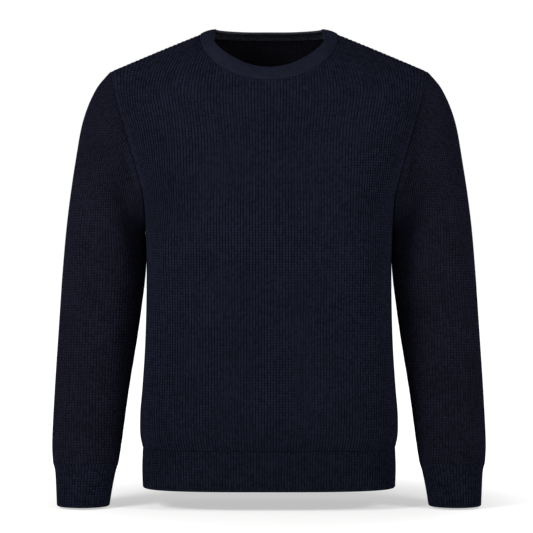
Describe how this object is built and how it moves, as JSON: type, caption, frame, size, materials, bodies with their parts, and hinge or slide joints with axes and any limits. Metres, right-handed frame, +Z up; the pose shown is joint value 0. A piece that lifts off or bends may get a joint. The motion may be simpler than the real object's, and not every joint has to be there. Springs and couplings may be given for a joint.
{
  "type": "crew neck sweater",
  "caption": "Hollow long-sleeved rib knit pullover with a plain round neckband, ribbed cuffs and a ribbed hem, filled out as if worn.",
  "frame": {"origin": "the neck point, midway between the two places where the neckband crosses the shoulder seams, which is where a wearer's neck and shoulders hold the garment up", "axes": "+Z up the body from the hem to the neck, +X to the wearer's left, +Y from the front panel to the back panel"},
  "size_m": [0.647, 0.2314, 0.7141],
  "materials": {
    "rib_knit": "matt navy rib knit of thick cotton yarn",
    "cuff_rib": "matt navy rib of cuffs and hem, closer than the body",
    "neckband_knit": "smooth matt navy fine knit"
  },
  "bodies": {
    "root": {"front": "rib_knit", "back": "rib_knit", "sleeve_left": "rib_knit", "sleeve_right": "rib_knit", "hem_rib": "cuff_rib", "cuff_left": "cuff_rib", "cuff_right": "cuff_rib", "neckband": "neckband_knit"}
  },
  "joints": []
}
